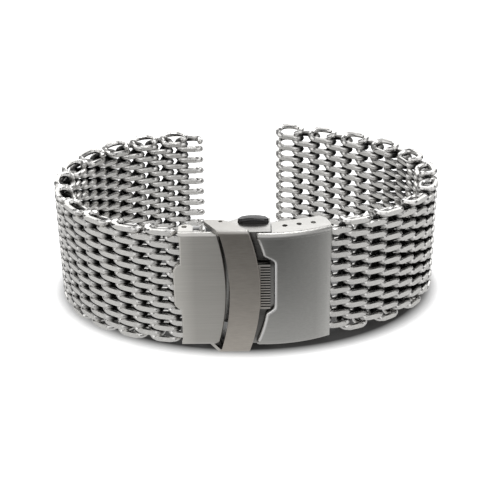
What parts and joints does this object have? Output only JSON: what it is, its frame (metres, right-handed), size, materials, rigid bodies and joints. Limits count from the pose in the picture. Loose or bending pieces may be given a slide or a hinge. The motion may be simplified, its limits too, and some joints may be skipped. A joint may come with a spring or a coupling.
{
  "type": "mesh watch bracelet",
  "caption": "Stainless mesh watch bracelet closed into a standing ring, with linked flat coils, open lug ends and a folding push-button clasp under a safety bar.",
  "frame": {"origin": "under the middle of the bracelet's box, at the edge that it stands on", "axes": "+Z along the band's width, -Y towards the outside of the clasp, +X to the right as the clasp is faced"},
  "size_m": [0.0698, 0.0494, 0.0235],
  "materials": {
    "mesh_wire": "polished wire with ground outer faces",
    "brushed_cover": "fine vertical brushing",
    "brushed_end": "fine vertical brushing",
    "satin_bar": "fine vertical brushing",
    "blade_steel": "satin",
    "pin_steel": "polished",
    "button_black": "gloss"
  },
  "bodies": {
    "inner_blade_body": {"inner_blade": "blade_steel", "end_piece": "brushed_end", "left_spring_bar": "pin_steel", "blade_hinge_pin": "pin_steel"},
    "middle_blade_body": {"middle_blade": "blade_steel"},
    "cover_body": {"cover": "brushed_cover", "lock_frame": "blade_steel", "cover_hinge_pin": "pin_steel", "upper_bar_pin": "pin_steel", "lower_bar_pin": "pin_steel", "right_spring_bar": "pin_steel", "upper_button_spring": "pin_steel", "lower_button_spring": "pin_steel"},
    "safety_bar_body": {"safety_bar": "satin_bar"},
    "upper_button_body": {"upper_push_button": "button_black"},
    "lower_button_body": {"lower_push_button": "button_black"},
    "left_coil_01_body": {"left_coil_01": "mesh_wire"},
    "left_coil_02_body": {"left_coil_02": "mesh_wire"},
    "left_coil_03_body": {"left_coil_03": "mesh_wire"},
    "left_coil_04_body": {"left_coil_04": "mesh_wire"},
    "left_coil_05_body": {"left_coil_05": "mesh_wire"},
    "left_coil_06_body": {"left_coil_06": "mesh_wire"},
    "left_coil_07_body": {"left_coil_07": "mesh_wire"},
    "left_coil_08_body": {"left_coil_08": "mesh_wire"},
    "left_coil_09_body": {"left_coil_09": "mesh_wire"},
    "left_coil_10_body": {"left_coil_10": "mesh_wire"},
    "left_coil_11_body": {"left_coil_11": "mesh_wire"},
    "left_coil_12_body": {"left_coil_12": "mesh_wire"},
    "left_coil_13_body": {"left_coil_13": "mesh_wire"},
    "left_coil_14_body": {"left_coil_14": "mesh_wire"},
    "left_coil_15_body": {"left_coil_15": "mesh_wire"},
    "left_coil_16_body": {"left_coil_16": "mesh_wire"},
    "left_coil_17_body": {"left_coil_17": "mesh_wire"},
    "left_coil_18_body": {"left_coil_18": "mesh_wire"},
    "left_coil_19_body": {"left_coil_19": "mesh_wire"},
    "left_coil_20_body": {"left_coil_20": "mesh_wire"},
    "left_coil_21_body": {"left_coil_21": "mesh_wire"},
    "left_coil_22_body": {"left_coil_22": "mesh_wire"},
    "left_coil_23_body": {"left_coil_23": "mesh_wire"},
    "right_coil_01_body": {"right_coil_01": "mesh_wire"},
    "right_coil_02_body": {"right_coil_02": "mesh_wire"},
    "right_coil_03_body": {"right_coil_03": "mesh_wire"},
    "right_coil_04_body": {"right_coil_04": "mesh_wire"},
    "right_coil_05_body": {"right_coil_05": "mesh_wire"},
    "right_coil_06_body": {"right_coil_06": "mesh_wire"},
    "right_coil_07_body": {"right_coil_07": "mesh_wire"},
    "right_coil_08_body": {"right_coil_08": "mesh_wire"},
    "right_coil_09_body": {"right_coil_09": "mesh_wire"},
    "right_coil_10_body": {"right_coil_10": "mesh_wire"},
    "right_coil_11_body": {"right_coil_11": "mesh_wire"},
    "right_coil_12_body": {"right_coil_12": "mesh_wire"},
    "right_coil_13_body": {"right_coil_13": "mesh_wire"},
    "right_coil_14_body": {"right_coil_14": "mesh_wire"},
    "right_coil_15_body": {"right_coil_15": "mesh_wire"},
    "right_coil_16_body": {"right_coil_16": "mesh_wire"},
    "right_coil_17_body": {"right_coil_17": "mesh_wire"},
    "right_coil_18_body": {"right_coil_18": "mesh_wire"},
    "right_coil_19_body": {"right_coil_19": "mesh_wire"},
    "right_coil_20_body": {"right_coil_20": "mesh_wire"},
    "right_coil_21_body": {"right_coil_21": "mesh_wire"}
  },
  "joints": [
    {"name": "clasp_fold", "type": "hinge", "parent": "inner_blade_body", "child": "middle_blade_body", "pos_m": [0.00673, -0.01966, 0.01175], "axis": [0, 0, 1], "range_deg": [0, 165]},
    {"name": "cover_fold", "type": "hinge", "parent": "middle_blade_body", "child": "cover_body", "pos_m": [-0.00247, -0.02041, 0.01175], "axis": [0, 0, 1], "range_deg": [-165, 0]},
    {"name": "safety_bar_lift", "type": "hinge", "parent": "cover_body", "child": "safety_bar_body", "pos_m": [-0.00442, -0.02091, 0.01175], "axis": [0, 0, -1], "range_deg": [0, 28]},
    {"name": "upper_button_press", "type": "slide", "parent": "cover_body", "child": "upper_button_body", "axis": [0, 0, -1], "range_m": [0, 0.0008], "stiffness_N_per_m": 1500, "deforming": ["upper_button_spring"]},
    {"name": "lower_button_press", "type": "slide", "parent": "cover_body", "child": "lower_button_body", "axis": [0, 0, 1], "range_m": [0, 0.0008], "stiffness_N_per_m": 1500, "deforming": ["lower_button_spring"]},
    {"name": "left_bar_swing", "type": "hinge", "parent": "inner_blade_body", "child": "left_coil_01_body", "pos_m": [-0.01047, -0.02106, 0.01175], "axis": [0, 0, 1], "range_deg": [-6, 4]},
    {"name": "left_hinge_01_02", "type": "hinge", "parent": "left_coil_01_body", "child": "left_coil_02_body", "pos_m": [-0.01293, -0.02075, 0.01175], "axis": [0, 0, 1], "range_deg": [0, 3.86]},
    {"name": "left_hinge_02_03", "type": "hinge", "parent": "left_coil_02_body", "child": "left_coil_03_body", "pos_m": [-0.01584, -0.02022, 0.01175], "axis": [0, 0, 1], "range_deg": [0, 5.54]},
    {"name": "left_hinge_03_04", "type": "hinge", "parent": "left_coil_03_body", "child": "left_coil_04_body", "pos_m": [-0.01869, -0.01943, 0.01175], "axis": [0, 0, 1], "range_deg": [0, 6.53]},
    {"name": "left_hinge_04_05", "type": "hinge", "parent": "left_coil_04_body", "child": "left_coil_05_body", "pos_m": [-0.02142, -0.01832, 0.01175], "axis": [0, 0, 1], "range_deg": [0, 7.24]},
    {"name": "left_hinge_05_06", "type": "hinge", "parent": "left_coil_05_body", "child": "left_coil_06_body", "pos_m": [-0.024, -0.01687, 0.01175], "axis": [0, 0, 1], "range_deg": [0, 7.8]},
    {"name": "left_hinge_06_07", "type": "hinge", "parent": "left_coil_06_body", "child": "left_coil_07_body", "pos_m": [-0.02636, -0.01509, 0.01175], "axis": [0, 0, 1], "range_deg": [0, 8.24]},
    {"name": "left_hinge_07_08", "type": "hinge", "parent": "left_coil_07_body", "child": "left_coil_08_body", "pos_m": [-0.02843, -0.01299, 0.01175], "axis": [0, 0, 1], "range_deg": [0, 8.58]},
    {"name": "left_hinge_08_09", "type": "hinge", "parent": "left_coil_08_body", "child": "left_coil_09_body", "pos_m": [-0.03018, -0.01061, 0.01175], "axis": [0, 0, 1], "range_deg": [0, 8.84]},
    {"name": "left_hinge_09_10", "type": "hinge", "parent": "left_coil_09_body", "child": "left_coil_10_body", "pos_m": [-0.03153, -0.00799, 0.01175], "axis": [0, 0, 1], "range_deg": [0, 9.04]},
    {"name": "left_hinge_10_11", "type": "hinge", "parent": "left_coil_10_body", "child": "left_coil_11_body", "pos_m": [-0.03246, -0.00519, 0.01175], "axis": [0, 0, 1], "range_deg": [0, 9.16]},
    {"name": "left_hinge_11_12", "type": "hinge", "parent": "left_coil_11_body", "child": "left_coil_12_body", "pos_m": [-0.03293, -0.00228, 0.01175], "axis": [0, 0, 1], "range_deg": [0, 9.22]},
    {"name": "left_hinge_12_13", "type": "hinge", "parent": "left_coil_12_body", "child": "left_coil_13_body", "pos_m": [-0.03293, 0.00067, 0.01175], "axis": [0, 0, 1], "range_deg": [0, 9.23]},
    {"name": "left_hinge_13_14", "type": "hinge", "parent": "left_coil_13_body", "child": "left_coil_14_body", "pos_m": [-0.03246, 0.00359, 0.01175], "axis": [0, 0, 1], "range_deg": [0, 9.16]},
    {"name": "left_hinge_14_15", "type": "hinge", "parent": "left_coil_14_body", "child": "left_coil_15_body", "pos_m": [-0.03153, 0.00639, 0.01175], "axis": [0, 0, 1], "range_deg": [0, 9.04]},
    {"name": "left_hinge_15_16", "type": "hinge", "parent": "left_coil_15_body", "child": "left_coil_16_body", "pos_m": [-0.03018, 0.00901, 0.01175], "axis": [0, 0, 1], "range_deg": [0, 8.84]},
    {"name": "left_hinge_16_17", "type": "hinge", "parent": "left_coil_16_body", "child": "left_coil_17_body", "pos_m": [-0.02843, 0.01139, 0.01175], "axis": [0, 0, 1], "range_deg": [0, 8.58]},
    {"name": "left_hinge_17_18", "type": "hinge", "parent": "left_coil_17_body", "child": "left_coil_18_body", "pos_m": [-0.02636, 0.01349, 0.01175], "axis": [0, 0, 1], "range_deg": [0, 8.24]},
    {"name": "left_hinge_18_19", "type": "hinge", "parent": "left_coil_18_body", "child": "left_coil_19_body", "pos_m": [-0.024, 0.01527, 0.01175], "axis": [0, 0, 1], "range_deg": [0, 7.8]},
    {"name": "left_hinge_19_20", "type": "hinge", "parent": "left_coil_19_body", "child": "left_coil_20_body", "pos_m": [-0.02142, 0.01671, 0.01175], "axis": [0, 0, 1], "range_deg": [0, 7.24]},
    {"name": "left_hinge_20_21", "type": "hinge", "parent": "left_coil_20_body", "child": "left_coil_21_body", "pos_m": [-0.01869, 0.01782, 0.01175], "axis": [0, 0, 1], "range_deg": [0, 6.53]},
    {"name": "left_hinge_21_22", "type": "hinge", "parent": "left_coil_21_body", "child": "left_coil_22_body", "pos_m": [-0.01584, 0.01862, 0.01175], "axis": [0, 0, 1], "range_deg": [0, 5.54]},
    {"name": "left_hinge_22_23", "type": "hinge", "parent": "left_coil_22_body", "child": "left_coil_23_body", "pos_m": [-0.01293, 0.01915, 0.01175], "axis": [0, 0, 1], "range_deg": [0, 3.86]},
    {"name": "right_bar_swing", "type": "hinge", "parent": "cover_body", "child": "right_coil_01_body", "pos_m": [0.01103, -0.01966, 0.01175], "axis": [0, 0, -1], "range_deg": [-6, 0.6]},
    {"name": "right_hinge_01_02", "type": "hinge", "parent": "right_coil_01_body", "child": "right_coil_02_body", "pos_m": [0.01356, -0.01883, 0.01175], "axis": [0, 0, -1], "range_deg": [0, 0.835]},
    {"name": "right_hinge_02_03", "type": "hinge", "parent": "right_coil_02_body", "child": "right_coil_03_body", "pos_m": [0.0167, -0.01773, 0.01175], "axis": [0, 0, -1], "range_deg": [0, 2.76]},
    {"name": "right_hinge_03_04", "type": "hinge", "parent": "right_coil_03_body", "child": "right_coil_04_body", "pos_m": [0.01979, -0.01647, 0.01175], "axis": [0, 0, -1], "range_deg": [0, 4.71]},
    {"name": "right_hinge_04_05", "type": "hinge", "parent": "right_coil_04_body", "child": "right_coil_05_body", "pos_m": [0.02276, -0.01498, 0.01175], "axis": [0, 0, -1], "range_deg": [0, 6.57]},
    {"name": "right_hinge_05_06", "type": "hinge", "parent": "right_coil_05_body", "child": "right_coil_06_body", "pos_m": [0.02553, -0.01315, 0.01175], "axis": [0, 0, -1], "range_deg": [0, 8.24]},
    {"name": "right_hinge_06_07", "type": "hinge", "parent": "right_coil_06_body", "child": "right_coil_07_body", "pos_m": [0.02802, -0.01095, 0.01175], "axis": [0, 0, -1], "range_deg": [0, 9.65]},
    {"name": "right_hinge_07_08", "type": "hinge", "parent": "right_coil_07_body", "child": "right_coil_08_body", "pos_m": [0.03011, -0.00838, 0.01175], "axis": [0, 0, -1], "range_deg": [0, 10.74]},
    {"name": "right_hinge_08_09", "type": "hinge", "parent": "right_coil_08_body", "child": "right_coil_09_body", "pos_m": [0.03168, -0.00546, 0.01175], "axis": [0, 0, -1], "range_deg": [0, 11.49]},
    {"name": "right_hinge_09_10", "type": "hinge", "parent": "right_coil_09_body", "child": "right_coil_10_body", "pos_m": [0.03265, -0.00229, 0.01175], "axis": [0, 0, -1], "range_deg": [0, 11.88]},
    {"name": "right_hinge_10_11", "type": "hinge", "parent": "right_coil_10_body", "child": "right_coil_11_body", "pos_m": [0.03294, 0.00101, 0.01175], "axis": [0, 0, -1], "range_deg": [0, 11.91]},
    {"name": "right_hinge_11_12", "type": "hinge", "parent": "right_coil_11_body", "child": "right_coil_12_body", "pos_m": [0.03256, 0.0043, 0.01175], "axis": [0, 0, -1], "range_deg": [0, 11.63]},
    {"name": "right_hinge_12_13", "type": "hinge", "parent": "right_coil_12_body", "child": "right_coil_13_body", "pos_m": [0.03152, 0.00745, 0.01175], "axis": [0, 0, -1], "range_deg": [0, 11.03]},
    {"name": "right_hinge_13_14", "type": "hinge", "parent": "right_coil_13_body", "child": "right_coil_14_body", "pos_m": [0.02991, 0.01034, 0.01175], "axis": [0, 0, -1], "range_deg": [0, 10.16]},
    {"name": "right_hinge_14_15", "type": "hinge", "parent": "right_coil_14_body", "child": "right_coil_15_body", "pos_m": [0.0278, 0.01291, 0.01175], "axis": [0, 0, -1], "range_deg": [0, 9.08]},
    {"name": "right_hinge_15_16", "type": "hinge", "parent": "right_coil_15_body", "child": "right_coil_16_body", "pos_m": [0.02533, 0.01512, 0.01175], "axis": [0, 0, -1], "range_deg": [0, 7.83]},
    {"name": "right_hinge_16_17", "type": "hinge", "parent": "right_coil_16_body", "child": "right_coil_17_body", "pos_m": [0.02257, 0.01697, 0.01175], "axis": [0, 0, -1], "range_deg": [0, 6.45]},
    {"name": "right_hinge_17_18", "type": "hinge", "parent": "right_coil_17_body", "child": "right_coil_18_body", "pos_m": [0.01962, 0.01851, 0.01175], "axis": [0, 0, -1], "range_deg": [0, 5]},
    {"name": "right_hinge_18_19", "type": "hinge", "parent": "right_coil_18_body", "child": "right_coil_19_body", "pos_m": [0.01654, 0.01978, 0.01175], "axis": [0, 0, -1], "range_deg": [0, 3.5]},
    {"name": "right_hinge_19_20", "type": "hinge", "parent": "right_coil_19_body", "child": "right_coil_20_body", "pos_m": [0.01339, 0.02086, 0.01175], "axis": [0, 0, -1], "range_deg": [0, 2.02]},
    {"name": "right_hinge_20_21", "type": "hinge", "parent": "right_coil_20_body", "child": "right_coil_21_body", "pos_m": [0.01021, 0.02183, 0.01175], "axis": [0, 0, -1], "range_deg": [0, 0.6058]}
  ],
  "couplings": [
    {"joint": "cover_fold", "follows": "clasp_fold", "ratio": -1},
    {"joint": "left_hinge_01_02", "follows": "left_hinge_11_12", "ratio": 0.41876},
    {"joint": "left_hinge_02_03", "follows": "left_hinge_11_12", "ratio": 0.6004},
    {"joint": "left_hinge_03_04", "follows": "left_hinge_11_12", "ratio": 0.70744},
    {"joint": "left_hinge_04_05", "follows": "left_hinge_11_12", "ratio": 0.78515},
    {"joint": "left_hinge_05_06", "follows": "left_hinge_11_12", "ratio": 0.84525},
    {"joint": "left_hinge_06_07", "follows": "left_hinge_11_12", "ratio": 0.89268},
    {"joint": "left_hinge_07_08", "follows": "left_hinge_11_12", "ratio": 0.93},
    {"joint": "left_hinge_08_09", "follows": "left_hinge_11_12", "ratio": 0.95866},
    {"joint": "left_hinge_09_10", "follows": "left_hinge_11_12", "ratio": 0.97956},
    {"joint": "left_hinge_10_11", "follows": "left_hinge_11_12", "ratio": 0.99324},
    {"joint": "left_hinge_12_13", "follows": "left_hinge_11_12", "ratio": 1},
    {"joint": "left_hinge_13_14", "follows": "left_hinge_11_12", "ratio": 0.99324},
    {"joint": "left_hinge_14_15", "follows": "left_hinge_11_12", "ratio": 0.97956},
    {"joint": "left_hinge_15_16", "follows": "left_hinge_11_12", "ratio": 0.95866},
    {"joint": "left_hinge_16_17", "follows": "left_hinge_11_12", "ratio": 0.93},
    {"joint": "left_hinge_17_18", "follows": "left_hinge_11_12", "ratio": 0.89268},
    {"joint": "left_hinge_18_19", "follows": "left_hinge_11_12", "ratio": 0.84525},
    {"joint": "left_hinge_19_20", "follows": "left_hinge_11_12", "ratio": 0.78515},
    {"joint": "left_hinge_20_21", "follows": "left_hinge_11_12", "ratio": 0.70744},
    {"joint": "left_hinge_21_22", "follows": "left_hinge_11_12", "ratio": 0.6004},
    {"joint": "left_hinge_22_23", "follows": "left_hinge_11_12", "ratio": 0.41876},
    {"joint": "right_hinge_01_02", "follows": "right_hinge_10_11", "ratio": 0.069894},
    {"joint": "right_hinge_02_03", "follows": "right_hinge_10_11", "ratio": 0.23113},
    {"joint": "right_hinge_03_04", "follows": "right_hinge_10_11", "ratio": 0.39542},
    {"joint": "right_hinge_04_05", "follows": "right_hinge_10_11", "ratio": 0.55143},
    {"joint": "right_hinge_05_06", "follows": "right_hinge_10_11", "ratio": 0.69138},
    {"joint": "right_hinge_06_07", "follows": "right_hinge_10_11", "ratio": 0.80936},
    {"joint": "right_hinge_07_08", "follows": "right_hinge_10_11", "ratio": 0.90109},
    {"joint": "right_hinge_08_09", "follows": "right_hinge_10_11", "ratio": 0.96393},
    {"joint": "right_hinge_09_10", "follows": "right_hinge_10_11", "ratio": 0.99678},
    {"joint": "right_hinge_11_12", "follows": "right_hinge_10_11", "ratio": 0.9752},
    {"joint": "right_hinge_12_13", "follows": "right_hinge_10_11", "ratio": 0.925},
    {"joint": "right_hinge_13_14", "follows": "right_hinge_10_11", "ratio": 0.85269},
    {"joint": "right_hinge_14_15", "follows": "right_hinge_10_11", "ratio": 0.76205},
    {"joint": "right_hinge_15_16", "follows": "right_hinge_10_11", "ratio": 0.65699},
    {"joint": "right_hinge_16_17", "follows": "right_hinge_10_11", "ratio": 0.5414},
    {"joint": "right_hinge_17_18", "follows": "right_hinge_10_11", "ratio": 0.41904},
    {"joint": "right_hinge_18_19", "follows": "right_hinge_10_11", "ratio": 0.29357},
    {"joint": "right_hinge_19_20", "follows": "right_hinge_10_11", "ratio": 0.1689},
    {"joint": "right_hinge_20_21", "follows": "right_hinge_10_11", "ratio": 0.050664}
  ]
}
